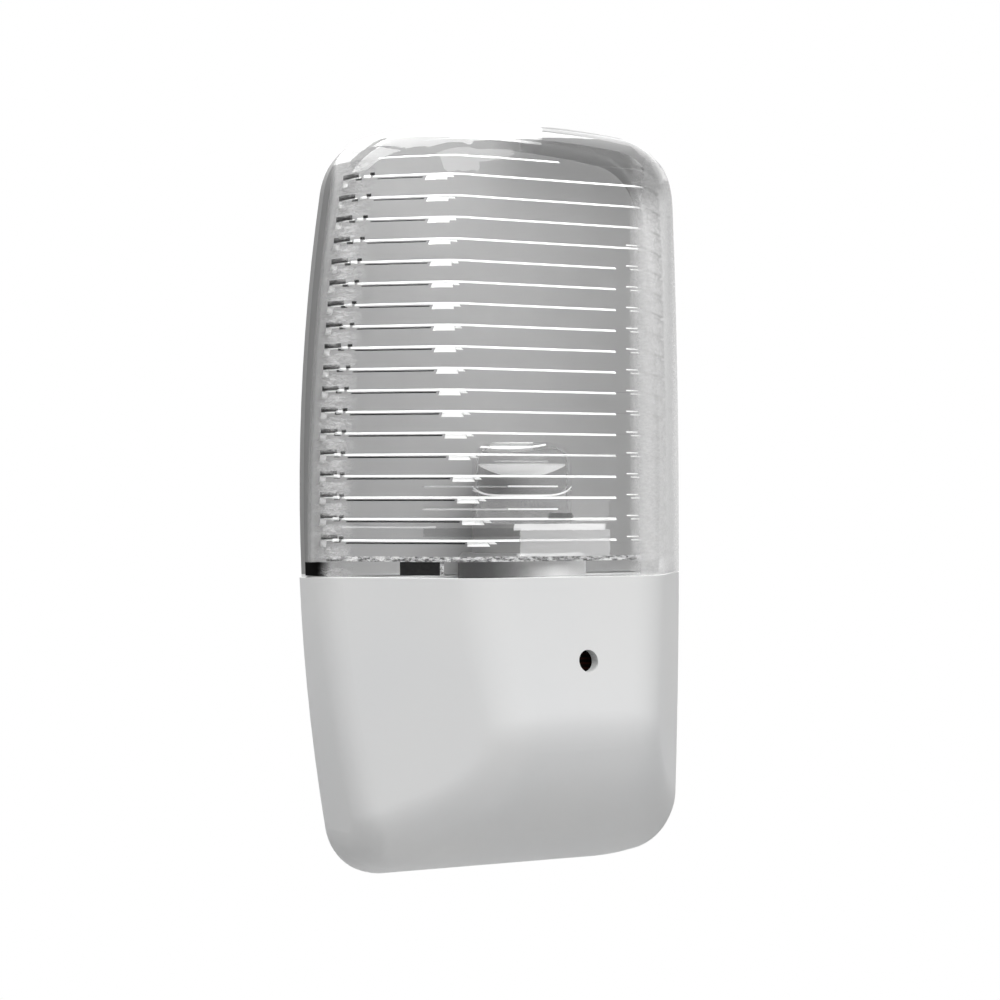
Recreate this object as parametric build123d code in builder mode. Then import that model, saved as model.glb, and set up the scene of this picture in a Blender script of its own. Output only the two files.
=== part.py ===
from build123d import *
from functools import cache
from math import asin, cos, degrees, radians, sin
import os

os.makedirs("parts", exist_ok=True)

# Driving dimensions in millimetres. The back face is the plane Y = 0, the front faces -Y,
# Z is up, and the origin lies between the plug blades.

# Front view of the body: bowed sides, a crowned top, a straight bottom edge.
HALF_WIDTH = 28.4
WIDEST_Z = 27.85
SIDE_RADIUS = 251.04
TOP_Z = 75.5
CROWN_RADIUS = 124.22
TOP_CORNER = 9.4
BOTTOM_Z = -23.6
BOTTOM_CORNER = 7.8

# Side view: upright front, a slow flare below it, then the sweep back to the bottom edge.
FRONT_DEPTH = 19.6
FLARE_Z = 53.3
FLARE_RADIUS = 276.0
SWEEP_Z = -1.34
SWEEP_ARCS = ((11.1, 14.0), (18.9, 55.1), (37.6, 77.6))

# Broad chamfer planes at the sides of the front, and the soft edges around them.
CHAMFER_ANGLE = 47.5
CHAMFER_REACH = 25.1
CHAMFER_Z = 26.0
CHAMFER_LEAN = 0.0075
RIDGE_RADIUS = 8.0
EDGE_RADIUS = 7.0

# Shells.
SEAM_Z = 16.0
SEAM_GAP = 0.15
WALL = 1.5
LENS_WALL = 1.8
RIM_DEPTH = 3.0
COVER = 2.2
PLATE = 1.2
PLATE_INSET = 0.3
LENS_BACK = 1.75

# Lens skirt and the ribs on its inside.
SKIRT_OUTER = 2.0
SKIRT_INNER = 3.2
SKIRT_BOTTOM_Z = 10.5
STEP_TOP_Z = 18.0
STEP_ROOT = 1.0
RIB_COUNT = 19
RIB_PITCH = 2.77
RIB_LOWEST_Z = 20.6
RIB_WIDTH = 0.55
RIB_ROOT = 1.2
RIB_TIP = 2.2
RIB_BACK = 3.6

# Photocell and its hole.
HOLE_X = 1.6
HOLE_Z = 5.2
HOLE_DIAMETER = 2.9
PHOTOCELL_FACE = 21.2
PHOTOCELL = 2.0
PHOTOCELL_RADIUS = 2.55
PHOTOCELL_LEAD_X = 1.3
SHIELD_OUTER = 3.9
SHIELD_INNER = 3.0

# Reflector, deck and lamp.
REFLECTOR = 0.4
REFLECTOR_INSET = 0.45
DECK_BOTTOM_Z = 12.5
DECK_TOP_Z = 14.0
DECK_INSET = 3.6
DECK_SLOT_WIDTH = 14.0
DECK_SLOT_DEPTH = 7.0
LAMP_Y = -9.9
HOLDER_TOP_Z = 19.0
HOLDER_RADIUS = 8.5
HOLDER_BORE = 4.5
HOLDER_CHAMFER = 0.5
HOLDER_NOTCH_WIDTH = 1.0
HOLDER_NOTCH_HEIGHT = 1.2
DOME_RADIUS = 6.6
DOME_TOP_Z = 33.6
DOME_WALL = 0.7
DOME_SHOULDER = 2.6
OPTIC_RADIUS = 5.8
OPTIC_FLAT_Z = 30.8
OPTIC_BULGE = 1.6
OPTIC_RIM = 0.2
LED_RADIUS = 1.5
LED_FLANGE = 0.8
LED_FLANGE_RADIUS = 1.7
LED_HEIGHT = 4.4
LED_CIRCLE = 2.9
LED_PITCH = 1.4
LED_BOARD = 1.0
LED_BOARD_RADIUS = 5.15
LED_STANDOFF = 0.8

# Blank shallow panel in the back, above the blades.
PANEL_Z = 34.0
PANEL_WIDTH = 30.0
PANEL_HEIGHT = 22.0
PANEL_CORNER = 2.0
PANEL_DEPTH = 0.3

# Plug blades, in the spacing of a flat two-blade plug.
BLADE_X = 6.35
BLADE_THICKNESS = 1.5
BLADE_LENGTH = 16.7
BLADE_TAPER = 2.0
NARROW_BLADE = 6.35
WIDE_BLADE = 7.94
BLADE_HOLE_Y = 11.7
BLADE_HOLE = 3.2
TAIL_HEIGHT = 2.4
SLOT_PLAY = 0.1

# Blade carrier, insulating sheet and circuit board, stacked from the cover to the front.
CARRIER_PLATE_Y = -4.2
CARRIER_PLATE_Z = -4.5
CARRIER_PLATE_HEIGHT = 22.0
CARRIER_BLOCK_Y = -6.2
CARRIER_BLOCK_WIDTH = 20.0
CARRIER_BLOCK_HEIGHT = 12.0
CARRIER_BLOCK_BURIED = 1.0
SHEET = 0.4
BOARD_BACK_Y = -7.0
BOARD_FRONT_Y = -8.6
BOARD_HALF = 17.4
BOARD_LOW_Z = -15.5
BOARD_HIGH_Z = 11.0
PILLAR_X = 14.5
PILLAR_Z = -12.8
PILLAR_RADIUS = 2.4
LEAD_RADIUS = 0.3
SOLDER_RADIUS = 0.8

# Screws.
BOSS_X = 21.5
BOSS_Z = -9.0
BOSS_RADIUS = 3.0
SCREW_RADIUS = 1.2
SCREW_DEPTH = 9.0
HEAD_RADIUS = 2.5
HEAD_RECESS = 1.4
HEAD_SUNK = 0.1
CROSS_LENGTH = 3.0
CROSS_WIDTH = 0.6
CROSS_DEPTH = 0.8
BOARD_SCREW_RADIUS = 0.75
BOARD_SCREW_LENGTH = 5.0
BOARD_HEAD_RADIUS = 1.6
BOARD_HEAD = 1.1


# ---- the rounded body that every shell is cut from ----

def outline_face(inset, start):
    """Front view of the body, drawn on the plane Y = -start and set in all round."""
    with BuildSketch(Plane.XZ.offset(start)) as outline:
        with Locations((HALF_WIDTH - SIDE_RADIUS, WIDEST_Z)):
            Circle(SIDE_RADIUS - inset)
        with Locations((SIDE_RADIUS - HALF_WIDTH, WIDEST_Z)):
            Circle(SIDE_RADIUS - inset, mode=Mode.INTERSECT)
        with Locations((0, TOP_Z - CROWN_RADIUS)):
            Circle(CROWN_RADIUS - inset, mode=Mode.INTERSECT)
        with Locations((0, BOTTOM_Z + inset)):
            Rectangle(4 * HALF_WIDTH, 2 * TOP_Z, align=(Align.CENTER, Align.MIN), mode=Mode.INTERSECT)
        fillet(outline.vertices().sort_by(Axis.Y)[-2:], TOP_CORNER - inset)
        fillet(outline.vertices().sort_by(Axis.Y)[:2], BOTTOM_CORNER - inset)
    return outline.sketch


def side_face(inset):
    """Side view: everything behind the front line, from above the top round to the bottom."""
    flare = degrees(asin((FLARE_Z - SWEEP_Z) / FLARE_RADIUS))
    front_y = inset - FRONT_DEPTH
    above = TOP_Z + 10
    behind = 25
    with BuildSketch(Plane.YZ.offset(-40)) as side:
        with BuildLine():
            path = Line((front_y, above), (front_y, FLARE_Z))
            path = JernArc(start=path @ 1, tangent=path % 1, radius=FLARE_RADIUS + inset, arc_size=-flare)
            tilt = -flare
            for radius, end_tilt in SWEEP_ARCS:
                turn = end_tilt - tilt
                path = JernArc(start=path @ 1, tangent=path % 1, radius=radius - inset, arc_size=turn)
                tilt = end_tilt
            low = path @ 1 + (path % 1) * behind
            Polyline(path @ 1, low, (low.X, above), (front_y, above))
        make_face()
    return side.sketch


def chamfer_plane(hand, inset):
    """One of the two planes that slope back from the front to the sides."""
    angle = radians(CHAMFER_ANGLE)
    foot = (hand * CHAMFER_REACH * sin(angle), -CHAMFER_REACH * cos(angle), CHAMFER_Z)
    return Plane(origin=foot, z_dir=(hand * sin(angle), -cos(angle), CHAMFER_LEAN)).offset(-inset)


def normals_beside(edge, faces):
    """Normals, at the edge's middle, of the faces that meet there."""
    beside = [face for face in faces if any(own.is_same(edge) for own in face.edges())]
    return [face.normal_at(edge @ 0.5) for face in beside]


def is_ridge(edge, faces):
    """True where a chamfer plane meets the front or the sweep."""
    normals = normals_beside(edge, faces)
    slanted = [n for n in normals if abs(n.X) > 0.5 and n.Y < -0.5]
    fronts = [n for n in normals if abs(n.X) < 0.001 and n.Y < -0.1]
    return len(slanted) == 1 and len(fronts) == 1


def is_wall_edge(edge, faces):
    """True where the outer wall meets a face that closes the front."""
    normals = normals_beside(edge, faces)
    walls = [n for n in normals if abs(n.Y) < 0.0001]
    flats = [n for n in normals if abs(n.Y) > 0.9999]
    return len(walls) == 1 and not flats


@cache
def rounded_body(inset):
    """The closed outer form, set in evenly. Set in, it also runs out past the back face."""
    with BuildPart() as body:
        extrude(outline_face(inset, -RIM_DEPTH if inset else 0), amount=35)
        extrude(side_face(inset), amount=80, mode=Mode.INTERSECT)
        for hand in (-1, 1):
            split(bisect_by=chamfer_plane(hand, inset), keep=Keep.BOTTOM)
        fillet([e for e in body.edges() if is_ridge(e, body.faces())], RIDGE_RADIUS - inset)
        fillet([e for e in body.edges() if is_wall_edge(e, body.faces())], EDGE_RADIUS - inset)
    return body.part


def seam_section(inset):
    """Level slice of the rounded body at the seam."""
    return section(rounded_body(inset), section_by=Plane.XY.offset(SEAM_Z))


# ---- lens ----

with BuildPart() as skirt:
    extrude(seam_section(STEP_ROOT), amount=STEP_TOP_Z - SEAM_Z, dir=(0, 0, 1))
    split(bisect_by=Plane.XY.offset(SEAM_Z + SEAM_GAP), keep=Keep.TOP)
    extrude(seam_section(SKIRT_OUTER), amount=STEP_TOP_Z - SEAM_Z, dir=(0, 0, 1))
    extrude(seam_section(SKIRT_OUTER), amount=SEAM_Z - SKIRT_BOTTOM_Z, dir=(0, 0, -1))
    extrude(seam_section(SKIRT_INNER), amount=20, both=True, dir=(0, 0, 1), mode=Mode.SUBTRACT)
    split(bisect_by=Plane.XZ.offset(RIB_BACK), keep=Keep.TOP)

with BuildPart() as rib_levels:
    with Locations(*[(0, -RIB_BACK, RIB_LOWEST_Z + n * RIB_PITCH) for n in range(RIB_COUNT)]):
        Box(80, 40, RIB_WIDTH, align=(Align.CENTER, Align.MAX, Align.CENTER))

with BuildPart() as ribs:
    add(rounded_body(RIB_ROOT))
    add(rounded_body(RIB_TIP), mode=Mode.SUBTRACT)
    add(rib_levels.part, mode=Mode.INTERSECT)

with BuildPart() as lens:
    add(rounded_body(0))
    add(rounded_body(LENS_WALL), mode=Mode.SUBTRACT)
    split(bisect_by=Plane.XY.offset(SEAM_Z + SEAM_GAP), keep=Keep.TOP)
    split(bisect_by=Plane.XZ.offset(LENS_BACK), keep=Keep.TOP)
    add(skirt.part)
    add(ribs.part)
lens.part.label = "lens"
export_step(lens.part, "parts/lens.step")


# ---- housing: the opaque lower shell, with two screw bosses ----

with BuildPart() as bosses:
    with BuildSketch(Plane.XZ.offset(RIM_DEPTH)):
        with Locations((-BOSS_X, BOSS_Z), (BOSS_X, BOSS_Z)):
            Circle(BOSS_RADIUS)
    extrude(amount=25)
    add(rounded_body(WALL / 2), mode=Mode.INTERSECT)

with BuildPart() as housing:
    add(rounded_body(0))
    add(rounded_body(WALL), mode=Mode.SUBTRACT)
    split(bisect_by=Plane.XY.offset(SEAM_Z), keep=Keep.BOTTOM)
    split(bisect_by=Plane.XZ.offset(RIM_DEPTH), keep=Keep.TOP)
    add(bosses.part)
    with BuildSketch(Plane.XZ.offset(15)):
        with Locations((HOLE_X, HOLE_Z)):
            Circle(HOLE_DIAMETER / 2)
    extrude(amount=15, mode=Mode.SUBTRACT)
    with BuildSketch(Plane.XZ.offset(RIM_DEPTH)):
        with Locations((-BOSS_X, BOSS_Z), (BOSS_X, BOSS_Z)):
            Circle(SCREW_RADIUS + SLOT_PLAY / 2)
    extrude(amount=SCREW_DEPTH, mode=Mode.SUBTRACT)
housing.part.label = "housing"
export_step(housing.part, "parts/housing.step")


# ---- back cover: rimmed below the seam, a thin plate behind the lens above it ----

with BuildPart() as upper_plate:
    extrude(outline_face(PLATE_INSET, 0), amount=PLATE)
    split(bisect_by=Plane.XY.offset(DECK_TOP_Z), keep=Keep.TOP)

with BuildPart() as back_cover:
    add(rounded_body(0))
    split(bisect_by=Plane.XZ.offset(RIM_DEPTH), keep=Keep.BOTTOM)
    split(bisect_by=Plane.XY.offset(SEAM_Z - SEAM_GAP), keep=Keep.BOTTOM)
    extrude(outline_face(WALL, COVER), amount=RIM_DEPTH, mode=Mode.SUBTRACT)
    add(upper_plate.part)
    with BuildSketch(Plane.XZ):
        with Locations((-BLADE_X, 0)):
            Rectangle(BLADE_THICKNESS + 2 * SLOT_PLAY, WIDE_BLADE + 2 * SLOT_PLAY)
        with Locations((BLADE_X, 0)):
            Rectangle(BLADE_THICKNESS + 2 * SLOT_PLAY, NARROW_BLADE + 2 * SLOT_PLAY)
    extrude(amount=COVER, mode=Mode.SUBTRACT)
    with BuildSketch(Plane.XZ):
        with Locations((-BOSS_X, BOSS_Z), (BOSS_X, BOSS_Z)):
            Circle(HEAD_RADIUS + SLOT_PLAY)
    extrude(amount=HEAD_RECESS, mode=Mode.SUBTRACT)
    with BuildSketch(Plane.XZ):
        with Locations((-BOSS_X, BOSS_Z), (BOSS_X, BOSS_Z)):
            Circle(SCREW_RADIUS + SLOT_PLAY)
    extrude(amount=COVER, mode=Mode.SUBTRACT)
    with BuildSketch(Plane.XZ):
        with Locations((0, PANEL_Z)):
            RectangleRounded(PANEL_WIDTH, PANEL_HEIGHT, PANEL_CORNER)
    extrude(amount=PANEL_DEPTH, mode=Mode.SUBTRACT)
back_cover.part.label = "back_cover"
export_step(back_cover.part, "parts/back_cover.step")

with BuildPart() as housing_screws:
    with BuildSketch(Plane.XZ.offset(HEAD_SUNK)):
        with Locations((-BOSS_X, BOSS_Z), (BOSS_X, BOSS_Z)):
            Circle(HEAD_RADIUS)
    extrude(amount=HEAD_RECESS - HEAD_SUNK)
    with BuildSketch(Plane.XZ.offset(HEAD_RECESS)):
        with Locations((-BOSS_X, BOSS_Z), (BOSS_X, BOSS_Z)):
            Circle(SCREW_RADIUS)
    extrude(amount=SCREW_DEPTH)
    with BuildSketch(Plane.XZ.offset(HEAD_SUNK)):
        with Locations((-BOSS_X, BOSS_Z), (BOSS_X, BOSS_Z)):
            Rectangle(CROSS_LENGTH, CROSS_WIDTH)
            Rectangle(CROSS_WIDTH, CROSS_LENGTH)
    extrude(amount=CROSS_DEPTH, mode=Mode.SUBTRACT)
housing_screws.part.label = "housing_screws"
export_step(housing_screws.part, "parts/housing_screws.step")


# ---- reflector panel: a sheet over the whole upper plate, behind the lens ----

with BuildPart() as reflector_panel:
    extrude(outline_face(REFLECTOR_INSET, PLATE), amount=REFLECTOR)
    split(bisect_by=Plane.XY.offset(SEAM_Z), keep=Keep.TOP)
reflector_panel.part.label = "reflector_panel"
export_step(reflector_panel.part, "parts/reflector_panel.step")


# ---- deck and lamp ----

with BuildPart() as lamp_deck:
    extrude(seam_section(DECK_INSET), amount=SEAM_Z - DECK_BOTTOM_Z, dir=(0, 0, -1))
    split(bisect_by=Plane.XY.offset(DECK_TOP_Z), keep=Keep.BOTTOM)
    split(bisect_by=Plane.XZ.offset(COVER), keep=Keep.TOP)
    with BuildSketch(Plane.XY.offset(DECK_BOTTOM_Z)):
        with Locations((0, LAMP_Y)):
            Rectangle(DECK_SLOT_WIDTH, DECK_SLOT_DEPTH)
    extrude(amount=DECK_TOP_Z - DECK_BOTTOM_Z, mode=Mode.SUBTRACT)
lamp_deck.part.label = "lamp_deck"
export_step(lamp_deck.part, "parts/lamp_deck.step")

with BuildPart() as led_holder:
    with BuildSketch(Plane.XY.offset(DECK_TOP_Z)):
        with Locations((0, LAMP_Y)):
            Circle(HOLDER_RADIUS)
            Circle(HOLDER_BORE, mode=Mode.SUBTRACT)
    extrude(amount=HOLDER_TOP_Z - DECK_TOP_Z)
    chamfer(led_holder.edges().group_by(Axis.Z)[-1].sort_by(SortBy.LENGTH)[-1], HOLDER_CHAMFER)
    with BuildSketch(Plane.XY.offset(DECK_TOP_Z)):
        with Locations((0, LAMP_Y)):
            Rectangle(3 * HOLDER_RADIUS, HOLDER_NOTCH_WIDTH)
    extrude(amount=HOLDER_NOTCH_HEIGHT, mode=Mode.SUBTRACT)
    split(bisect_by=Plane.XZ.offset(COVER + SLOT_PLAY), keep=Keep.TOP)
led_holder.part.label = "led_holder"
export_step(led_holder.part, "parts/led_holder.step")

with BuildPart() as led_board:
    with BuildSketch(Plane.XY.offset(HOLDER_TOP_Z)):
        with Locations((0, LAMP_Y)):
            Circle(LED_BOARD_RADIUS)
    extrude(amount=LED_BOARD)
led_board.part.label = "led_board"
export_step(led_board.part, "parts/led_board.step")


def dome_profile(radius, top, corner):
    """Half section of a round-shouldered cap, for turning about the lamp's axis."""
    with BuildLine() as line:
        FilletPolyline((radius, HOLDER_TOP_Z), (radius, top), (0, top), radius=corner)
        Polyline((0, top), (0, HOLDER_TOP_Z), (radius, HOLDER_TOP_Z))
    return line.line


dome_outside = dome_profile(DOME_RADIUS, DOME_TOP_Z, DOME_SHOULDER)
dome_inside = dome_profile(DOME_RADIUS - DOME_WALL, DOME_TOP_Z - DOME_WALL, DOME_SHOULDER - DOME_WALL)
with BuildPart() as lamp_dome:
    with BuildSketch(Plane.XZ.offset(-LAMP_Y)):
        make_face(dome_outside.edges())
        make_face(dome_inside.edges(), mode=Mode.SUBTRACT)
    revolve(axis=Axis((0, LAMP_Y, 0), (0, 0, 1)))
lamp_dome.part.label = "lamp_dome"
export_step(lamp_dome.part, "parts/lamp_dome.step")

with BuildPart() as lamp_optic:
    with BuildSketch(Plane.XZ.offset(-LAMP_Y)):
        with BuildLine():
            flat = Polyline((0, OPTIC_FLAT_Z), (OPTIC_RADIUS, OPTIC_FLAT_Z),
                            (OPTIC_RADIUS, OPTIC_FLAT_Z - OPTIC_RIM))
            bulge = SagittaArc(flat @ 1, (-OPTIC_RADIUS, OPTIC_FLAT_Z - OPTIC_RIM), OPTIC_BULGE)
            Polyline(bulge @ 1, (-OPTIC_RADIUS, OPTIC_FLAT_Z), (0, OPTIC_FLAT_Z))
        make_face()
        with Locations((-OPTIC_RADIUS, OPTIC_FLAT_Z)):
            Rectangle(2 * OPTIC_RADIUS, 4 * OPTIC_BULGE, mode=Mode.SUBTRACT)
    revolve(axis=Axis((0, LAMP_Y, 0), (0, 0, 1)))
lamp_optic.part.label = "lamp_optic"
export_step(lamp_optic.part, "parts/lamp_optic.step")

led_foot_z = HOLDER_TOP_Z + LED_BOARD + LED_STANDOFF
with BuildPart() as led_emitters:
    with BuildSketch(Plane.XY.offset(led_foot_z)):
        with Locations((0, LAMP_Y)):
            with PolarLocations(LED_CIRCLE, 3, start_angle=90):
                Circle(LED_FLANGE_RADIUS)
    extrude(amount=LED_FLANGE)
    with BuildSketch(Plane.XY.offset(led_foot_z)):
        with Locations((0, LAMP_Y)):
            with PolarLocations(LED_CIRCLE, 3, start_angle=90):
                Circle(LED_RADIUS)
    extrude(amount=LED_HEIGHT)
    fillet(led_emitters.edges().group_by(Axis.Z)[-1], LED_RADIUS - 0.1)
led_emitters.part.label = "led_emitters"
export_step(led_emitters.part, "parts/led_emitters.step")

with BuildPart() as led_leads:
    with BuildSketch(Plane.XY.offset(HOLDER_TOP_Z + LED_BOARD)):
        with Locations((0, LAMP_Y)):
            with PolarLocations(LED_CIRCLE, 3, start_angle=90):
                with Locations((0, -LED_PITCH / 2), (0, LED_PITCH / 2)):
                    Circle(LEAD_RADIUS)
    extrude(amount=LED_STANDOFF)
led_leads.part.label = "led_leads"
export_step(led_leads.part, "parts/led_leads.step")


# ---- plug blades and what holds them ----

def blade_sketch_points(height):
    """Side view of a blade in Y and Z: tapered tip, full blade, narrow tail to the board."""
    half = height / 2
    shoulder_y = CARRIER_BLOCK_Y + CARRIER_BLOCK_BURIED
    return [(BLADE_LENGTH, half - BLADE_TAPER), (BLADE_LENGTH - BLADE_TAPER, half), (shoulder_y, half),
            (shoulder_y, TAIL_HEIGHT / 2), (BOARD_BACK_Y, TAIL_HEIGHT / 2)]


def blade(x, height):
    """A flat blade with its hole, centred on x."""
    upper = blade_sketch_points(height)
    lower = [(y, -z) for y, z in reversed(upper)]
    with BuildPart() as flat_blade:
        with BuildSketch(Plane.YZ.offset(x - BLADE_THICKNESS / 2)):
            with BuildLine():
                Polyline(*upper, *lower, close=True)
            make_face()
            with Locations((BLADE_HOLE_Y, 0)):
                Circle(BLADE_HOLE / 2, mode=Mode.SUBTRACT)
        extrude(amount=BLADE_THICKNESS)
    return flat_blade.part


with BuildPart() as blade_wide:
    add(blade(-BLADE_X, WIDE_BLADE))
blade_wide.part.label = "blade_wide"
export_step(blade_wide.part, "parts/blade_wide.step")

with BuildPart() as blade_narrow:
    add(blade(BLADE_X, NARROW_BLADE))
blade_narrow.part.label = "blade_narrow"
export_step(blade_narrow.part, "parts/blade_narrow.step")

with BuildPart() as blade_carrier:
    with BuildSketch(Plane.XZ.offset(COVER)):
        with Locations((0, CARRIER_PLATE_Z)):
            RectangleRounded(2 * BOARD_HALF, CARRIER_PLATE_HEIGHT, 2)
    extrude(amount=-CARRIER_PLATE_Y - COVER)
    with BuildSketch(Plane.XZ.offset(COVER)):
        RectangleRounded(CARRIER_BLOCK_WIDTH, CARRIER_BLOCK_HEIGHT, 1)
    extrude(amount=-CARRIER_BLOCK_Y - COVER)
    with BuildSketch(Plane.XZ.offset(COVER)):
        with Locations((-PILLAR_X, PILLAR_Z), (PILLAR_X, PILLAR_Z)):
            Circle(PILLAR_RADIUS)
    extrude(amount=-BOARD_BACK_Y - COVER)
    with BuildSketch(Plane.XZ.offset(COVER)):
        with Locations((-BLADE_X, 0)):
            Rectangle(BLADE_THICKNESS + SLOT_PLAY, WIDE_BLADE + SLOT_PLAY)
        with Locations((BLADE_X, 0)):
            Rectangle(BLADE_THICKNESS + SLOT_PLAY, NARROW_BLADE + SLOT_PLAY)
        with Locations((-PILLAR_X, PILLAR_Z), (PILLAR_X, PILLAR_Z)):
            Circle(BOARD_SCREW_RADIUS + SLOT_PLAY / 2)
    extrude(amount=10, mode=Mode.SUBTRACT)
blade_carrier.part.label = "blade_carrier"
export_step(blade_carrier.part, "parts/blade_carrier.step")


def board_blank(start, thickness, corner):
    """A plate of the circuit board's size with its face at Y = -start."""
    with BuildPart() as blank:
        with BuildSketch(Plane.XZ.offset(start)):
            with Locations((0, (BOARD_HIGH_Z + BOARD_LOW_Z) / 2)):
                RectangleRounded(2 * BOARD_HALF, BOARD_HIGH_Z - BOARD_LOW_Z, corner)
        extrude(amount=thickness)
    return blank.part


with BuildPart() as insulating_sheet:
    add(board_blank(-CARRIER_BLOCK_Y, SHEET, 1.5))
    with BuildSketch(Plane.XZ.offset(-CARRIER_BLOCK_Y)):
        with Locations((-BLADE_X, 0), (BLADE_X, 0)):
            Rectangle(BLADE_THICKNESS + 2 * SLOT_PLAY, TAIL_HEIGHT + 2 * SLOT_PLAY)
        with Locations((-PILLAR_X, PILLAR_Z), (PILLAR_X, PILLAR_Z)):
            Circle(PILLAR_RADIUS + SLOT_PLAY)
    extrude(amount=SHEET, mode=Mode.SUBTRACT)
insulating_sheet.part.label = "insulating_sheet"
export_step(insulating_sheet.part, "parts/insulating_sheet.step")


# ---- circuit board and its components ----

with BuildPart() as circuit_board:
    add(board_blank(-BOARD_BACK_Y, BOARD_BACK_Y - BOARD_FRONT_Y, 1.0))
    with BuildSketch(Plane.XZ.offset(-BOARD_BACK_Y)):
        with Locations((-PILLAR_X, PILLAR_Z), (PILLAR_X, PILLAR_Z)):
            Circle(BOARD_SCREW_RADIUS + SLOT_PLAY)
    extrude(amount=BOARD_BACK_Y - BOARD_FRONT_Y, mode=Mode.SUBTRACT)
circuit_board.part.label = "circuit_board"
export_step(circuit_board.part, "parts/circuit_board.step")

with BuildPart() as board_screws:
    with BuildSketch(Plane.XZ.offset(-BOARD_FRONT_Y)):
        with Locations((-PILLAR_X, PILLAR_Z), (PILLAR_X, PILLAR_Z)):
            Circle(BOARD_HEAD_RADIUS)
    extrude(amount=BOARD_HEAD)
    fillet(board_screws.edges().group_by(Axis.Y)[0], 0.4)
    with BuildSketch(Plane.XZ.offset(-BOARD_FRONT_Y - BOARD_SCREW_LENGTH)):
        with Locations((-PILLAR_X, PILLAR_Z), (PILLAR_X, PILLAR_Z)):
            Circle(BOARD_SCREW_RADIUS)
    extrude(amount=BOARD_SCREW_LENGTH)
board_screws.part.label = "board_screws"
export_step(board_screws.part, "parts/board_screws.step")

FILM_CAP_X = -12.0
FILM_CAP_Z = -2.0
FILM_CAP_WIDTH = 6.0
FILM_CAP_LENGTH = 12.0
FILM_CAP_HEIGHT = 8.0
FILM_CAP_LEADS = ((FILM_CAP_X, -6.5), (FILM_CAP_X, 3.0))
BODY_LIFT = 0.4
with BuildPart() as film_capacitor:
    with BuildSketch(Plane.XZ.offset(-BOARD_FRONT_Y + BODY_LIFT)):
        with Locations((FILM_CAP_X, FILM_CAP_Z)):
            RectangleRounded(FILM_CAP_WIDTH, FILM_CAP_LENGTH, 0.8)
    extrude(amount=FILM_CAP_HEIGHT)
    fillet(film_capacitor.edges().group_by(Axis.Y)[0], 0.6)
film_capacitor.part.label = "film_capacitor"
export_step(film_capacitor.part, "parts/film_capacitor.step")

CAN_X = 10.5
CAN_Z = -7.0
CAN_RADIUS = 4.0
CAN_HEIGHT = 10.0
CAN_PITCH = 3.5
VENT_LENGTH = 5.0
VENT_WIDTH = 0.3
VENT_DEPTH = 0.2
CAN_LEADS = ((CAN_X, CAN_Z - CAN_PITCH / 2), (CAN_X, CAN_Z + CAN_PITCH / 2))
with BuildPart() as smoothing_capacitor:
    with BuildSketch(Plane.XZ.offset(-BOARD_FRONT_Y + BODY_LIFT)):
        with Locations((CAN_X, CAN_Z)):
            Circle(CAN_RADIUS)
    extrude(amount=CAN_HEIGHT)
    fillet(smoothing_capacitor.edges().group_by(Axis.Y)[0], 0.5)
    with BuildSketch(Plane.XZ.offset(-BOARD_FRONT_Y + BODY_LIFT + CAN_HEIGHT)):
        with Locations((CAN_X, CAN_Z)):
            Rectangle(VENT_LENGTH, VENT_WIDTH)
            Rectangle(VENT_WIDTH, VENT_LENGTH)
    extrude(amount=-VENT_DEPTH, mode=Mode.SUBTRACT)
smoothing_capacitor.part.label = "smoothing_capacitor"
export_step(smoothing_capacitor.part, "parts/smoothing_capacitor.step")


def axial_bodies(xs, z, length, radius):
    """Cylinders lying upright along Z against the board, one for each x."""
    with BuildPart() as bodies:
        with BuildSketch(Plane.XY.offset(z - length / 2)):
            with Locations(*[(x, BOARD_FRONT_Y - BODY_LIFT - radius) for x in xs]):
                Circle(radius)
        extrude(amount=length)
        fillet(bodies.edges(), 0.25)
    return bodies.part


DIODE_XS = (7.2, 10.1, 13.0, 15.9)
DIODE_Z = 5.8
DIODE_LENGTH = 5.2
DIODE_RADIUS = 1.35
with BuildPart() as rectifier_diodes:
    add(axial_bodies(DIODE_XS, DIODE_Z, DIODE_LENGTH, DIODE_RADIUS))
rectifier_diodes.part.label = "rectifier_diodes"
export_step(rectifier_diodes.part, "parts/rectifier_diodes.step")

RESISTOR_XS = (-4.8, -1.4, 2.0)
RESISTOR_Z = -9.0
RESISTOR_LENGTH = 6.3
RESISTOR_RADIUS = 1.2
with BuildPart() as resistors:
    add(axial_bodies(RESISTOR_XS, RESISTOR_Z, RESISTOR_LENGTH, RESISTOR_RADIUS))
resistors.part.label = "resistors"
export_step(resistors.part, "parts/resistors.step")

FUSE_X = -15.2
FUSE_Z = 7.0
FUSE_LENGTH = 3.6
FUSE_RADIUS = 1.6
with BuildPart() as fusible_resistor:
    add(axial_bodies((FUSE_X,), FUSE_Z, FUSE_LENGTH, FUSE_RADIUS))
fusible_resistor.part.label = "fusible_resistor"
export_step(fusible_resistor.part, "parts/fusible_resistor.step")

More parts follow.
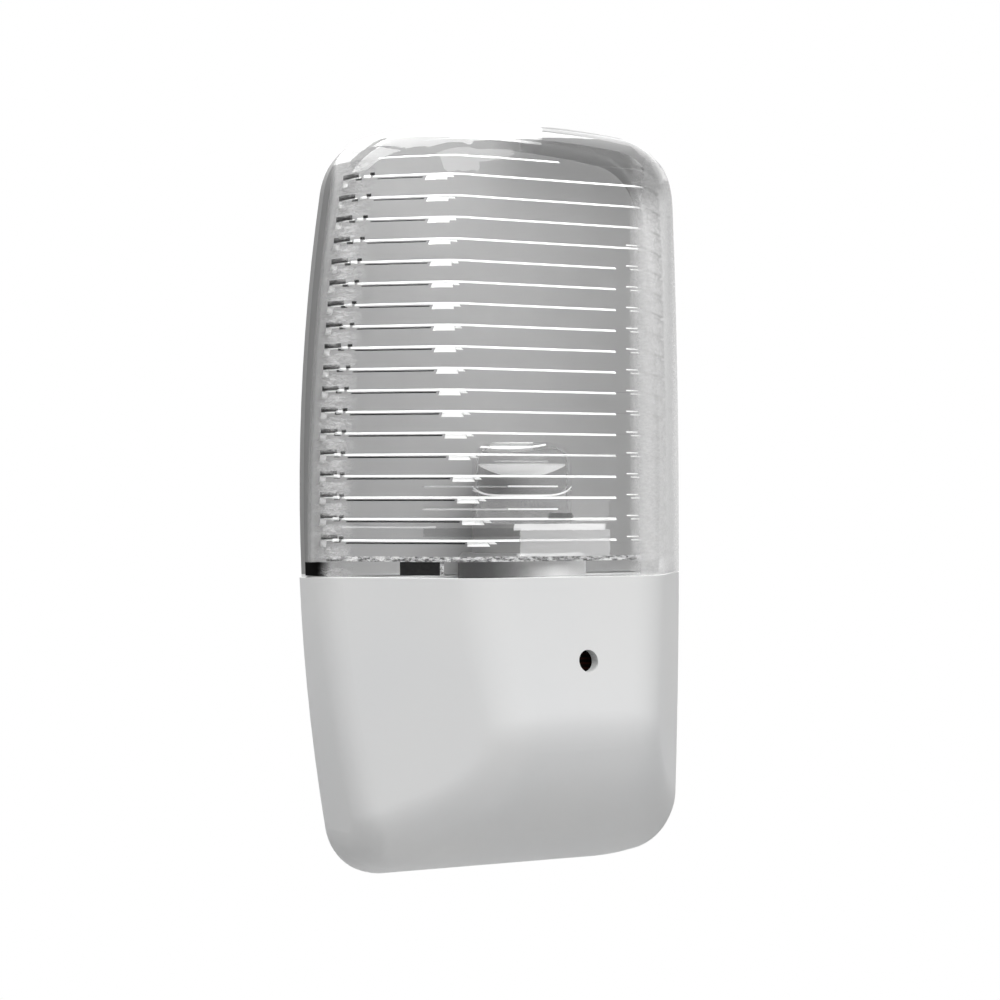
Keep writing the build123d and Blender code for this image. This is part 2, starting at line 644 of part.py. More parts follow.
TRANSISTOR_X = -1.4
TRANSISTOR_Z = -1.6
TRANSISTOR_LIFT = 2.0
TRANSISTOR_RADIUS = 2.3
TRANSISTOR_HEIGHT = 4.6
TRANSISTOR_FLAT = 1.1
TRANSISTOR_PITCH = 1.27
with BuildPart() as transistor:
    with BuildSketch(Plane.XZ.offset(-BOARD_FRONT_Y + TRANSISTOR_LIFT)):
        with Locations((TRANSISTOR_X, TRANSISTOR_Z)):
            Circle(TRANSISTOR_RADIUS)
        with Locations((TRANSISTOR_X, TRANSISTOR_Z + TRANSISTOR_FLAT)):
            Rectangle(6, 3, align=(Align.CENTER, Align.MIN), mode=Mode.SUBTRACT)
    extrude(amount=TRANSISTOR_HEIGHT)
transistor.part.label = "transistor"
export_step(transistor.part, "parts/transistor.step")
TRANSISTOR_LEADS = tuple((TRANSISTOR_X + TRANSISTOR_PITCH * k, TRANSISTOR_Z) for k in (-1, 0, 1))

with BuildPart() as photocell:
    with BuildSketch(Plane.XZ.offset(PHOTOCELL_FACE - PHOTOCELL)):
        with Locations((HOLE_X, HOLE_Z)):
            Circle(PHOTOCELL_RADIUS)
    extrude(amount=PHOTOCELL)
    fillet(photocell.edges().group_by(Axis.Y)[0], 0.3)
photocell.part.label = "photocell"
export_step(photocell.part, "parts/photocell.step")

with BuildPart() as photocell_shield:
    with BuildSketch(Plane.XZ.offset(-BOARD_FRONT_Y)):
        with Locations((HOLE_X, HOLE_Z)):
            Circle(SHIELD_OUTER)
            Circle(SHIELD_INNER, mode=Mode.SUBTRACT)
    extrude(amount=PHOTOCELL_FACE + BOARD_FRONT_Y)
photocell_shield.part.label = "photocell_shield"
export_step(photocell_shield.part, "parts/photocell_shield.step")

PHOTOCELL_LEADS = ((HOLE_X - PHOTOCELL_LEAD_X, HOLE_Z), (HOLE_X + PHOTOCELL_LEAD_X, HOLE_Z))
with BuildPart() as photocell_leads:
    with BuildSketch(Plane.XZ.offset(-BOARD_FRONT_Y)):
        with Locations(*PHOTOCELL_LEADS):
            Circle(LEAD_RADIUS)
    extrude(amount=PHOTOCELL_FACE - PHOTOCELL + BOARD_FRONT_Y)
photocell_leads.part.label = "photocell_leads"
export_step(photocell_leads.part, "parts/photocell_leads.step")


def axial_lead_feet(xs, z, length):
    """Where the bent leads of axial bodies meet the board."""
    reach = length / 2 + 1.0
    return [(x, z + side * reach) for x in xs for side in (-1, 1)]


def bent_lead(x, z, body_end, axis_y):
    """One lead: out of the body's end, round a bend and down to the board."""
    with BuildPart() as lead:
        with BuildLine():
            FilletPolyline((x, axis_y, body_end), (x, axis_y, z), (x, BOARD_FRONT_Y, z), radius=0.45)
        with BuildSketch(Plane(origin=(x, axis_y, body_end), z_dir=(0, 0, z - body_end))):
            Circle(LEAD_RADIUS)
        sweep()
    return lead.part


def axial_leads(xs, z, length, radius):
    """The bent leads at both ends of every axial body in a row."""
    feet = axial_lead_feet(xs, z, length)
    axis_y = BOARD_FRONT_Y - BODY_LIFT - radius
    ends = [z - length / 2 if foot_z < z else z + length / 2 for _, foot_z in feet]
    return [bent_lead(x, foot_z, end, axis_y) for (x, foot_z), end in zip(feet, ends)]


with BuildPart() as component_leads:
    for group in (axial_leads(DIODE_XS, DIODE_Z, DIODE_LENGTH, DIODE_RADIUS),
                  axial_leads(RESISTOR_XS, RESISTOR_Z, RESISTOR_LENGTH, RESISTOR_RADIUS),
                  axial_leads((FUSE_X,), FUSE_Z, FUSE_LENGTH, FUSE_RADIUS)):
        for lead in group:
            add(lead)
    with BuildSketch(Plane.XZ.offset(-BOARD_FRONT_Y)):
        with Locations(*FILM_CAP_LEADS, *CAN_LEADS):
            Circle(LEAD_RADIUS)
    extrude(amount=BODY_LIFT)
    with BuildSketch(Plane.XZ.offset(-BOARD_FRONT_Y)):
        with Locations(*TRANSISTOR_LEADS):
            Circle(LEAD_RADIUS)
    extrude(amount=TRANSISTOR_LIFT)
component_leads.part.label = "component_leads"
export_step(component_leads.part, "parts/component_leads.step")


# ---- wires from the board up to the lamp ----

WIRE_RADIUS = 0.6
WIRE_FOOT_Z = 9.9
WIRE_RISE = 2.2
WIRE_TOP_X = 1.4
WIRE_BEND_Z = 13.4


def wire(board_x, lamp_x):
    """An insulated wire: out of the board, up through the deck, to the lamp board."""
    foot = (board_x, BOARD_FRONT_Y, WIRE_FOOT_Z)
    bend = (board_x, BOARD_FRONT_Y - WIRE_RISE, WIRE_FOOT_Z)
    deck = (lamp_x, LAMP_Y, WIRE_BEND_Z)
    with BuildPart() as tube:
        with BuildLine():
            FilletPolyline(foot, bend, deck, (lamp_x, LAMP_Y, HOLDER_TOP_Z), radius=0.9)
        with BuildSketch(Plane(origin=foot, z_dir=(0, -1, 0))):
            Circle(WIRE_RADIUS)
        sweep()
    return tube.part


WIRE_FEET = ((-6.6, WIRE_FOOT_Z), (-4.4, WIRE_FOOT_Z))
with BuildPart() as wire_positive:
    add(wire(WIRE_FEET[0][0], -WIRE_TOP_X))
wire_positive.part.label = "wire_positive"
export_step(wire_positive.part, "parts/wire_positive.step")

with BuildPart() as wire_negative:
    add(wire(WIRE_FEET[1][0], WIRE_TOP_X))
wire_negative.part.label = "wire_negative"
export_step(wire_negative.part, "parts/wire_negative.step")


# ---- solder on the board's back, one cone for each lead ----

SOLDER_HEIGHT = 0.35
feet = (axial_lead_feet(DIODE_XS, DIODE_Z, DIODE_LENGTH)
        + axial_lead_feet(RESISTOR_XS, RESISTOR_Z, RESISTOR_LENGTH)
        + axial_lead_feet((FUSE_X,), FUSE_Z, FUSE_LENGTH))
with BuildPart() as solder_joints:
    with BuildSketch(Plane.XZ.offset(-BOARD_BACK_Y)):
        with Locations(*feet, *FILM_CAP_LEADS, *CAN_LEADS, *PHOTOCELL_LEADS, *WIRE_FEET):
            Circle(SOLDER_RADIUS)
        with Locations(*TRANSISTOR_LEADS):
            Circle(SOLDER_RADIUS / 2)
    extrude(amount=-SOLDER_HEIGHT, taper=35)
solder_joints.part.label = "solder_joints"
export_step(solder_joints.part, "parts/solder_joints.step")
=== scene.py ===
import math

import bmesh
import bpy
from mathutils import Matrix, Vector


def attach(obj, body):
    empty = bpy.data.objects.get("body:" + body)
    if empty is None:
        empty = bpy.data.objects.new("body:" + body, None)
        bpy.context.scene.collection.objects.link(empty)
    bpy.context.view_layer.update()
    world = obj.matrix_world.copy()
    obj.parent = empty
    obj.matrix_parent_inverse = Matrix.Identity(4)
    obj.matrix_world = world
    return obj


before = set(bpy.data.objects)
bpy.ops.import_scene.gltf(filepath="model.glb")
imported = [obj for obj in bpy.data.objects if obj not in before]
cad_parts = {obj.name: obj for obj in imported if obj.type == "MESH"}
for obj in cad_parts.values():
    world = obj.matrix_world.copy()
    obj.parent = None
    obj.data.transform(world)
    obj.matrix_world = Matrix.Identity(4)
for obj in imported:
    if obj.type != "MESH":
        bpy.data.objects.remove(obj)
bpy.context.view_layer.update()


# ---- room: camera, soft lamps and a pale board under the light ----
# The night light hangs level, as it would on a wall. A broad lamp stands high in front of it, four
# more stand round it and overhead, and a pale board below sends some of their light back up.

def linear(hex_colour):
    """An sRGB hex colour as the linear colour that a socket takes."""
    channels = [int(hex_colour[i:i + 2], 16) / 255 for i in (1, 3, 5)]
    return tuple(c / 12.92 if c <= 0.04045 else ((c + 0.055) / 1.055) ** 2.4 for c in channels) + (1.0,)


def node(tree, kind, sockets=None, **settings):
    """Adds a node with its settings. A socket takes a value, an output or a node's first output.
    A Map Range takes the span from socket 1 to 2 to the span from 3 to 4."""
    made = tree.nodes.new(kind)
    for name, value in settings.items():
        setattr(made, name, value)
    for name, value in (sockets or {}).items():
        if isinstance(value, bpy.types.Node):
            value = value.outputs[0]
        if isinstance(value, bpy.types.NodeSocket):
            tree.links.new(value, made.inputs[name])
        else:
            made.inputs[name].default_value = value
    return made


camera_azimuth = math.radians(-31.0)
camera_distance = 0.3596
aim = Vector((0.0, -0.00423, 0.026))
camera_data = bpy.data.cameras.new("camera")
camera_data.sensor_width = 36.0
camera_data.lens = 95.8
camera_data.clip_start = 0.01
camera = bpy.data.objects.new("camera", camera_data)
camera.location = aim + camera_distance * Vector((math.sin(camera_azimuth), -math.cos(camera_azimuth), 0.0))
camera.rotation_euler = (math.pi / 2, 0.0, camera_azimuth)
bpy.context.scene.collection.objects.link(camera)
bpy.context.scene.camera = camera
bpy.context.scene.view_settings.view_transform = "Standard"

# The backdrop behind the light is white, also seen through the clear parts and mirrored in metal.
# All else sees a dim grey fill. The backdrop is given by its direction and by the cosines of the
# angles from it at which the white begins and is full.
backdrop_way = (-math.sin(camera_azimuth), math.cos(camera_azimuth), 0.0)
backdrop_begins, backdrop_full = 0.2, 0.55
fill_strength = 0.16
world = bpy.data.worlds.new("white_room")
bpy.context.scene.world = world
world.use_nodes = True
tree = world.node_tree
tree.nodes.clear()
ray = node(tree, "ShaderNodeLightPath").outputs
way = node(tree, "ShaderNodeTexCoord").outputs["Generated"]
ahead = node(tree, "ShaderNodeVectorMath", {0: way, 1: backdrop_way}, operation="DOT_PRODUCT")
behind = node(tree, "ShaderNodeMapRange", {0: ahead.outputs["Value"], 1: backdrop_begins, 2: backdrop_full})
unscattered = node(tree, "ShaderNodeMath", {0: ray["Diffuse Depth"], 1: 0.5}, operation="LESS_THAN")
bent = node(tree, "ShaderNodeMath", {0: ray["Is Transmission Ray"], 1: ray["Is Glossy Ray"]},
            operation="MAXIMUM")
through = node(tree, "ShaderNodeMath", {0: bent, 1: unscattered}, operation="MULTIPLY")
backdrop = node(tree, "ShaderNodeMath", {0: through, 1: behind}, operation="MULTIPLY")
seen = node(tree, "ShaderNodeMath", {0: ray["Is Camera Ray"], 1: backdrop}, operation="MAXIMUM")
fill = node(tree, "ShaderNodeBackground", {"Color": linear("#FFFFFF"), "Strength": fill_strength})
white = node(tree, "ShaderNodeBackground", {"Color": linear("#FFFFFF"), "Strength": 1.0})
room = node(tree, "ShaderNodeMixShader", {0: seen, 1: fill, 2: white})
node(tree, "ShaderNodeOutputWorld", {"Surface": room})

# Each softbox: degrees round from the front, degrees up, distance, width, height, watts.
for name, azimuth, elevation, distance, width, height, power in (
        ("front_softbox", -7.0, 38.0, 1.0, 1.3, 0.9, 9.6),
        ("left_softbox", -112.0, 46.0, 1.0, 0.6, 0.5, 4.4),
        ("overhead_softbox", -20.0, 100.0, 1.0, 1.0, 0.9, 14.0),
        ("right_softbox", 118.0, 30.0, 1.2, 0.8, 0.8, 2.4),
        ("back_softbox", 166.0, 25.0, 1.2, 0.8, 0.8, 5.0)):
    lamp = bpy.data.lights.new(name, "AREA")
    lamp.shape = "RECTANGLE"
    lamp.size, lamp.size_y = width, height
    lamp.energy = power
    holder = bpy.data.objects.new(name, lamp)
    turn, rise = math.radians(azimuth), math.radians(elevation)
    away = Vector((math.sin(turn) * math.cos(rise), -math.cos(turn) * math.cos(rise), math.sin(rise)))
    holder.location = aim + distance * away
    holder.rotation_euler = away.to_track_quat("Z", "Y").to_euler()
    bpy.context.scene.collection.objects.link(holder)

floor_side, floor_centre = 0.42, (-0.04, -0.06, -0.27)
bpy.ops.object.select_all(action="DESELECT")
bpy.ops.mesh.primitive_grid_add(x_subdivisions=2, y_subdivisions=2, size=floor_side, location=floor_centre)
floor = bpy.context.object
floor.name = "floor"
floor_paint = bpy.data.materials.new("floor_pale_board")
floor_paint.use_nodes = True
tree = floor_paint.node_tree
tree.nodes.clear()
board = node(tree, "ShaderNodeBsdfDiffuse", {"Color": linear("#CACACA")})
node(tree, "ShaderNodeOutputMaterial", {"Surface": board})
floor.data.materials.append(floor_paint)


# ---- housing and back cover ----
# Two opaque shells moulded in white ABS: satin, with faint clouds and the fine grain of a
# spark-eroded tool, drawn at 0.3 mm so that it shows. The cover's thin plate above the seam is
# sprayed grey on its front and edges, behind the lens.

def new_material(name):
    """An empty material, its shader tree, and the output that gives the place on the piece."""
    material = bpy.data.materials.new(name)
    material.use_nodes = True
    tree = material.node_tree
    tree.nodes.clear()
    return material, tree, node(tree, "ShaderNodeTexCoord").outputs["Object"]


def uneven(tree, place, scale, detail, first, second):
    """A noise with so many grains a metre, and the colour between two hex colours that it gives."""
    grain = node(tree, "ShaderNodeTexNoise", {"Vector": place, "Scale": scale, "Detail": detail})
    tint = node(tree, "ShaderNodeMix", {0: grain, 6: linear(first), 7: linear(second)}, data_type="RGBA")
    return grain, tint.outputs[2]


def finish(material, tree, surface, *names):
    """Ends a material in its surface and puts it on CAD nodes."""
    node(tree, "ShaderNodeOutputMaterial", {"Surface": surface})
    for name in names:
        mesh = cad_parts[name].data
        mesh.materials.clear()
        mesh.materials.append(material)


plate_foot, back_facing = 0.0163, 0.5
for name, material_name in (("housing", "abs_moulded_white_satin"),
                            ("back_cover", "abs_moulded_white_with_grey_plate")):
    abs_white, tree, place = new_material(material_name)
    grain = node(tree, "ShaderNodeTexNoise", {"Vector": place, "Scale": 3500.0, "Detail": 2.0})
    _, tint = uneven(tree, place, 60.0, 1.0, "#E4E5E6", "#E9E9E8")
    if name == "back_cover":
        axes = node(tree, "ShaderNodeSeparateXYZ", {0: place}).outputs
        facing = node(tree, "ShaderNodeSeparateXYZ", {0: node(tree, "ShaderNodeTexCoord").outputs["Normal"]})
        over_seam = node(tree, "ShaderNodeMath", {0: axes["Z"], 1: plate_foot}, operation="GREATER_THAN")
        not_back = node(tree, "ShaderNodeMath", {0: facing.outputs["Y"], 1: back_facing},
                        operation="LESS_THAN")
        darkened = node(tree, "ShaderNodeMath", {0: over_seam, 1: not_back}, operation="MULTIPLY")
        coat = node(tree, "ShaderNodeMix", {0: darkened, 6: tint, 7: linear("#989898")}, data_type="RGBA")
        tint = coat.outputs[2]
    dull = node(tree, "ShaderNodeMapRange", {0: grain, 3: 0.5, 4: 0.62})
    bump = node(tree, "ShaderNodeBump", {"Height": grain, "Strength": 0.12, "Distance": 0.00002})
    shell = node(tree, "ShaderNodeBsdfPrincipled", {"Base Color": tint, "Roughness": dull, "IOR": 1.5,
                                                    "Specular IOR Level": 0.15, "Normal": bump})
    finish(abs_white, tree, shell, name)

# ---- lens ----
# A clear moulded polystyrene cap over the lamp chamber. It drops into the housing by its skirt and
# pulls straight up; level steps are moulded all round its inside. It is given almost no bending, so
# that the steps don't hide the inside, and its gloss comes from a coat on its outside.

# Places on it are told by broad, the distance along the level line across. That line lies square
# to a look at the light from 31 degrees round its front.
look_turn = math.radians(31.0)
across = Vector((math.cos(look_turn), -math.sin(look_turn), 0.0))
step_lowest, step_pitch, step_count, step_half = 0.0206, 0.00277, 19, 0.000275

clear, tree, place = new_material("polystyrene_clear_gloss")
axes = node(tree, "ShaderNodeSeparateXYZ", {0: place}).outputs
broad = node(tree, "ShaderNodeVectorMath", {0: place, 1: across}, operation="DOT_PRODUCT").outputs["Value"]
wall = node(tree, "ShaderNodeNewGeometry").outputs
outer = node(tree, "ShaderNodeMath", {0: 1.0, 1: wall["Backfacing"]}, operation="SUBTRACT")
glass = node(tree, "ShaderNodeBsdfPrincipled", {"Base Color": linear("#FBFBFB"), "Roughness": 0.0,
                                                "IOR": 1.001, "Transmission Weight": 1.0,
                                                "Coat Weight": outer, "Coat Roughness": 0.02,
                                                "Coat IOR": 1.6})

# Haze where the plastic flowed round the corners: a speckled band down the left, which follows
# the lean of that wall and thins at each step, and a milky one down the right, which thins towards
# the back and ends under the crown. The milky one is greyer at its rim and its top: painted shade.
wall_lean, wall_foot, wall_top = -0.003, step_lowest, 0.0677
left_begins, left_full, left_thins, left_ends = -0.0225, -0.0200, -0.0195, -0.0165
right_begins, right_full, rim_begins, rim_full = 0.0192, 0.0220, 0.0226, 0.0252
crown_begins, crown_full, top_begins, top_full = 0.071, 0.073, 0.062, 0.069
back_thins, back_least = -0.013, -0.004
step_near, step_clear = 0.0004, 0.0007
streak = node(tree, "ShaderNodeMapping", {0: place, "Scale": (1.0, 0.5, 2.4)})
flow = node(tree, "ShaderNodeTexNoise", {"Vector": streak, "Scale": 1100.0, "Detail": 5.0, "Roughness": 0.75})
rise = node(tree, "ShaderNodeMapRange", {0: axes["Z"], 1: wall_foot, 2: wall_top})
lean = node(tree, "ShaderNodeMath", {0: rise, 1: rise}, operation="MULTIPLY")
straight = node(tree, "ShaderNodeMath", {0: lean, 1: wall_lean, 2: broad}, operation="MULTIPLY_ADD")
left_in = node(tree, "ShaderNodeMapRange", {0: straight, 1: left_begins, 2: left_full})
left_out = node(tree, "ShaderNodeMapRange", {0: straight, 1: left_thins, 2: left_ends, 3: 1.0, 4: 0.0})
left_band = node(tree, "ShaderNodeMath", {0: left_in, 1: left_out}, operation="MULTIPLY")
specks = node(tree, "ShaderNodeMapRange", {0: flow, 1: 0.42, 2: 0.62, 3: 0.05, 4: 0.6})
speckled = node(tree, "ShaderNodeMath", {0: left_band, 1: specks}, operation="MULTIPLY")
over_lowest = node(tree, "ShaderNodeMath", {0: axes["Z"], 1: step_lowest}, operation="SUBTRACT")
from_step = node(tree, "ShaderNodeMath", {0: over_lowest, 1: step_pitch / 2}, operation="PINGPONG")
between_steps = node(tree, "ShaderNodeMapRange", {0: from_step, 1: step_near, 2: step_clear, 3: 0.15})
left_haze = node(tree, "ShaderNodeMath", {0: speckled, 1: between_steps}, operation="MULTIPLY")
right_band = node(tree, "ShaderNodeMapRange", {0: broad, 1: right_begins, 2: right_full})
cloudy = node(tree, "ShaderNodeMapRange", {0: flow, 1: 0.4, 2: 0.65, 3: 0.5, 4: 0.72})
milky = node(tree, "ShaderNodeMath", {0: right_band, 1: cloudy}, operation="MULTIPLY")
under_crown = node(tree, "ShaderNodeMapRange", {0: axes["Z"], 1: crown_begins, 2: crown_full, 3: 1.0, 4: 0.0})
lower = node(tree, "ShaderNodeMath", {0: milky, 1: under_crown}, operation="MULTIPLY")
near_front = node(tree, "ShaderNodeMapRange", {0: axes["Y"], 1: back_thins, 2: back_least, 3: 1.0, 4: 0.2})
right_haze = node(tree, "ShaderNodeMath", {0: lower, 1: near_front}, operation="MULTIPLY")
haze = node(tree, "ShaderNodeMath", {0: left_haze, 1: right_haze}, operation="MAXIMUM")
# The milky haze turns grey towards its rim and its top: painted shade.
to_rim = node(tree, "ShaderNodeMapRange", {0: broad, 1: rim_begins, 2: rim_full})
rim_painted_shade = node(tree, "ShaderNodeMix", {0: to_rim, 6: linear("#E4E4E4"), 7: linear("#A6A6A6")},
                data_type="RGBA")
to_top = node(tree, "ShaderNodeMapRange", {0: axes["Z"], 1: top_begins, 2: top_full})
haze_and_painted_shade = node(tree, "ShaderNodeMix", {0: to_top, 6: rim_painted_shade.outputs[2], 7: linear("#ABABAB")},
                 data_type="RGBA")
milk = node(tree, "ShaderNodeBsdfDiffuse", {"Color": haze_and_painted_shade.outputs[2], "Roughness": 1.0})
moulded = node(tree, "ShaderNodeMixShader", {0: haze, 1: glass, 2: milk})

# Grey veils where the real lens mirrors a dim room: a narrow one down the left edge, and one over
# the back part of the crown that grows to the right.
veil_strength = 0.85
edge_full, edge_ends = -0.0231, -0.0222
back_begins, back_full, veil_begins, veil_full = -0.0135, -0.0125, 0.001, 0.008
steep, level_enough = 0.25, 0.5
edge_left = node(tree, "ShaderNodeMapRange", {0: straight, 1: edge_full, 2: edge_ends, 3: veil_strength,
                                              4: 0.0})
crown_back = node(tree, "ShaderNodeMapRange", {0: axes["Y"], 1: back_begins, 2: back_full, 4: veil_strength})
facing = node(tree, "ShaderNodeSeparateXYZ", {0: wall["Normal"]})
levelled = node(tree, "ShaderNodeMath", {0: facing.outputs["Z"]}, operation="ABSOLUTE")
crown_wall = node(tree, "ShaderNodeMapRange", {0: levelled, 1: steep, 2: level_enough})
to_right = node(tree, "ShaderNodeMapRange", {0: broad, 1: veil_begins, 2: veil_full})
crown_right = node(tree, "ShaderNodeMath", {0: crown_back, 1: to_right}, operation="MULTIPLY")
crown_veil = node(tree, "ShaderNodeMath", {0: crown_right, 1: crown_wall}, operation="MULTIPLY")
veiled = node(tree, "ShaderNodeMath", {0: edge_left, 1: crown_veil}, operation="MAXIMUM")
veil_tone = node(tree, "ShaderNodeMix", {0: to_right, 6: linear("#8E8E8E"), 7: linear("#B2B2B2")},
                 data_type="RGBA")
grey_veil = node(tree, "ShaderNodeBsdfDiffuse", {"Color": veil_tone.outputs[2], "Roughness": 1.0})
moulded = node(tree, "ShaderNodeMixShader", {0: veiled, 1: moulded, 2: grey_veil})

# Faint ragged patches low on the front stand for the lamp and its foot as the real steps bend them.
# Each is given by its ends in broad, its lowest and highest point, its tone and its strength.
shift_span, height_span = 0.0012, 0.0003
shift = node(tree, "ShaderNodeMath", {0: flow, 1: shift_span, 2: broad}, operation="MULTIPLY_ADD")
height = node(tree, "ShaderNodeMath", {0: flow, 1: height_span, 2: axes["Z"]}, operation="MULTIPLY_ADD")
for start, end, bottom, top, tone, strength in (
        (0.0048, 0.0166, 0.0187, 0.0221, "#DCDCDC", 0.34),
        (0.0040, 0.0159, 0.0221, 0.0229, "#FFFFFF", 0.5),
        (-0.0076, 0.0048, 0.0213, 0.0224, "#303030", 0.16),
        (0.0120, 0.0175, 0.0233, 0.0235, "#FFFFFF", 0.5),
        (0.0085, 0.0116, 0.0236, 0.0243, "#202020", 0.4),
        (-0.0076, 0.0032, 0.0247, 0.0249, "#F0F0F0", 0.3),
        (-0.0076, 0.0032, 0.0276, 0.0278, "#F0F0F0", 0.15),
        (-0.0180, -0.0060, 0.0224, 0.0226, "#F0F0F0", 0.3),
        (-0.0010, 0.0165, 0.0229, 0.0262, "#DCDCDC", 0.08),
        (0.0015, 0.0085, 0.0309, 0.0311, "#F0F0F0", 0.2)):
    place_middle, place_half = (start + end + shift_span) / 2, (end - start) / 2
    height_middle, height_half = (bottom + top + height_span) / 2, (top - bottom) / 2
    wide = node(tree, "ShaderNodeMath", {0: shift, 1: place_middle, 2: place_half}, operation="COMPARE")
    tall = node(tree, "ShaderNodeMath", {0: height, 1: height_middle, 2: height_half}, operation="COMPARE")
    patch = node(tree, "ShaderNodeMath", {0: wide, 1: tall}, operation="MULTIPLY")
    cover = node(tree, "ShaderNodeMath", {0: patch, 1: strength}, operation="MULTIPLY")
    film = node(tree, "ShaderNodeBsdfDiffuse", {"Color": linear(tone), "Roughness": 1.0})
    moulded = node(tree, "ShaderNodeMixShader", {0: cover, 1: moulded, 2: film})

# The band over the seam is painted black at its left corner, where the snap hooks of the real one close it:
# painted shade.
band_top, hook_shade_full, hook_shade_end = 0.0179, -0.0215, -0.0198
low = node(tree, "ShaderNodeMath", {0: axes["Z"], 1: band_top}, operation="LESS_THAN")
hook_shade_span = node(tree, "ShaderNodeMapRange", {0: broad, 1: hook_shade_full, 2: hook_shade_end, 3: 0.97, 4: 0.0})
hook_shade_mask = node(tree, "ShaderNodeMath", {0: low, 1: hook_shade_span}, operation="MULTIPLY")
hook_painted_shade = node(tree, "ShaderNodeBsdfDiffuse", {"Color": linear("#0A0A0A")})
banded = node(tree, "ShaderNodeMixShader", {0: hook_shade_mask, 1: moulded, 2: hook_painted_shade})

# The light of the lamps passes straight through, a little dimmed.
shadow = node(tree, "ShaderNodeLightPath").outputs["Is Shadow Ray"]
passing = node(tree, "ShaderNodeBsdfTransparent", {"Color": (0.93, 0.93, 0.93, 1.0)})
lit = node(tree, "ShaderNodeMixShader", {0: shadow, 1: banded, 2: passing})
finish(clear, tree, lit, "lens")

# ---- step flanks of the lens ----
# Each step inside the lens ends in a narrow flank. Matt white strips on the flanks are painted
# highlights that the lamps light: a thin white line on each step and a broader mark on the left
# ridge. A fine dark line below is painted shadow, and painted dark marks and glints sit where the
# step enters the left wall. All follow the crests of the lens's steps.
line_height, line_lean, mark_height, mark_lean, foot_lean = 0.00026, 0.0003, 0.0006, 0.0008, 0.00003
skin_thickness = 0.00004
line_left, line_left_drift, line_right, line_right_high = -0.0184, 0.0041, 0.0176, 0.0216
ridge_middle, ridge_level, ridge_down, ridge_bow, ridge_up = -0.00472, 9, 0.0002325, 0.0000276, 0.000146
mark_left, mark_right, tail_right, top_left, top_right = -0.0016, 0.0013, 0.0022, -0.0137, 0.0100
top_level, high_level, spark_levels = step_count - 1, 13, 15

# The crest of a step is the upright inner faces of its bar, as far back as the front wall goes.
crest_slack, crest_upright, lens_middle, crest_back = 2e-6, 0.8, -0.004, -0.00361
crests, begins = [], []
for level in range(step_count):
    middle = step_lowest + level * step_pitch
    form = bmesh.new()
    form.from_mesh(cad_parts["lens"].data)
    bmesh.ops.remove_doubles(form, verts=form.verts, dist=1e-7)
    others = []
    for face in form.faces:
        centre = face.calc_center_median()
        on_step = all(abs(vertex.co.z - middle) < step_half + crest_slack for vertex in face.verts)
        inward = face.normal.dot(Vector((centre.x, centre.y - lens_middle, 0.0))) < 0.0
        if not (on_step and inward and abs(face.normal.z) < crest_upright and centre.y < crest_back):
            others.append(face)
    bmesh.ops.delete(form, geom=others, context="FACES")
    crest = bpy.data.meshes.new("crest")
    form.to_mesh(crest)
    form.free()
    crests.append(crest)
    begins.append(min(across.dot(vertex.co) for vertex in crest.vertices))


def add_strip(strips, level, start, end, top, bottom, lean_in, back):
    """Adds to strips a piece of one step's crest, between two distances along the line across,
    and two heights over the step's middle. Its top leans inwards, and it can be set further back
    along the wall."""
    middle = step_lowest + level * step_pitch
    form = bmesh.new()
    form.from_mesh(crests[level])
    for place, hand in ((start, -1.0), (end, 1.0)):
        bmesh.ops.bisect_plane(form, geom=form.verts[:] + form.edges[:] + form.faces[:],
                               plane_co=across * place, plane_no=across * hand, clear_outer=True)
    form.normal_update()
    moved = []
    for vertex in form.verts:
        upper = vertex.co.z > middle
        inward = Vector((vertex.normal.x, vertex.normal.y, 0.0)).normalized()
        place = vertex.co + inward * (lean_in if upper else foot_lean)
        moved.append((vertex, (place.x, place.y + back, middle + (top if upper else bottom))))
    for vertex, place in moved:
        vertex.co = place
    strip = bpy.data.meshes.new("strip")
    form.to_mesh(strip)
    form.free()
    strips.from_mesh(strip)
    bpy.data.meshes.remove(strip)


def strip_piece(name, strips, material):
    """Makes one piece of the strips, gives it a skin's thickness and lets it ride on the lens."""
    mesh = bpy.data.meshes.new(name)
    strips.to_mesh(mesh)
    strips.free()
    piece = bpy.data.objects.new(name, mesh)
    bpy.context.scene.collection.objects.link(piece)
    bpy.ops.object.select_all(action="DESELECT")
    bpy.context.view_layer.objects.active = piece
    piece.select_set(True)
    solid = piece.modifiers.new("skin", "SOLIDIFY")
    solid.thickness = skin_thickness
    bpy.ops.object.modifier_apply(modifier="skin")
    mesh.materials.append(material)
    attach(piece, "lens")


# Painted highlights: matt white strips where the real steps reflect the lamps.
flank_highlight_paint, tree, place = new_material("polystyrene_step_painted_highlight")
_, pale = uneven(tree, place, 4000.0, 3.0, "#F4F4F4", "#FFFFFF")
satin = node(tree, "ShaderNodeBsdfPrincipled", {"Base Color": pale, "Roughness": 0.35, "IOR": 1.49})
finish(flank_highlight_paint, tree, satin)

# Painted shade: the dark lines below the steps, the dark marks at the left wall and the snap pad.
shade, tree, place = new_material("polystyrene_painted_shade")
_, dark = uneven(tree, place, 2500.0, 3.0, "#020202", "#262626")
deep = node(tree, "ShaderNodeBsdfPrincipled", {"Base Color": dark, "Roughness": 0.8,
                                               "Specular IOR Level": 0.1})
finish(shade, tree, deep)

